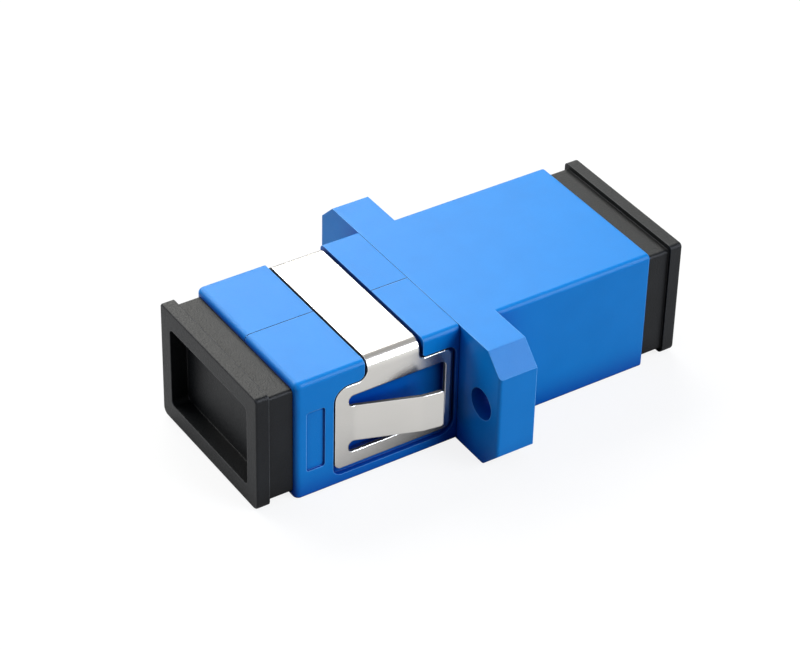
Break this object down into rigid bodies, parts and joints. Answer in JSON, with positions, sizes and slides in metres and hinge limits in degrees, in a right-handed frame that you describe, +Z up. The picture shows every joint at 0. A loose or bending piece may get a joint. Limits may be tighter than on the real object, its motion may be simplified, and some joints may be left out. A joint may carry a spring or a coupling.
{
  "type": "sc fibre adapter",
  "caption": "Panel adapter that joins two square fibre plugs end to end, with a screw flange, a sprung steel panel clip and a black dust cap pushed into each port.",
  "frame": {"origin": "centre of the flange on the optical axis, which is also the middle of the capped adapter", "axes": "+X along the optical axis, out of the port of the long housing; +Y across the flange; +Z up, out of the face that the clip's strap crosses"},
  "size_m": [0.0336, 0.022, 0.0094],
  "materials": {
    "housing": "satin moulded blue plastic with a fine grain",
    "clip": "bright rolled spring steel sheet",
    "holder": "plain moulded off-white plastic",
    "sleeve": "polished white ceramic",
    "dust_cap": "matt black soft plastic with a fine grain"
  },
  "bodies": {
    "adapter": {"flange_housing": "housing", "clip_housing": "housing", "panel_clip": "clip", "long_side_holder": "holder", "clip_side_holder": "holder", "alignment_sleeve": "sleeve"},
    "long_side_cap": {"long_side_dust_cap": "dust_cap"},
    "clip_side_cap": {"clip_side_dust_cap": "dust_cap"}
  },
  "joints": [
    {"name": "long_side_cap_pull", "type": "slide", "parent": "adapter", "child": "long_side_cap", "axis": [1, 0, 0], "range_m": [0, 0.014]},
    {"name": "clip_side_cap_pull", "type": "slide", "parent": "adapter", "child": "clip_side_cap", "axis": [-1, 0, 0], "range_m": [0, 0.014]}
  ]
}
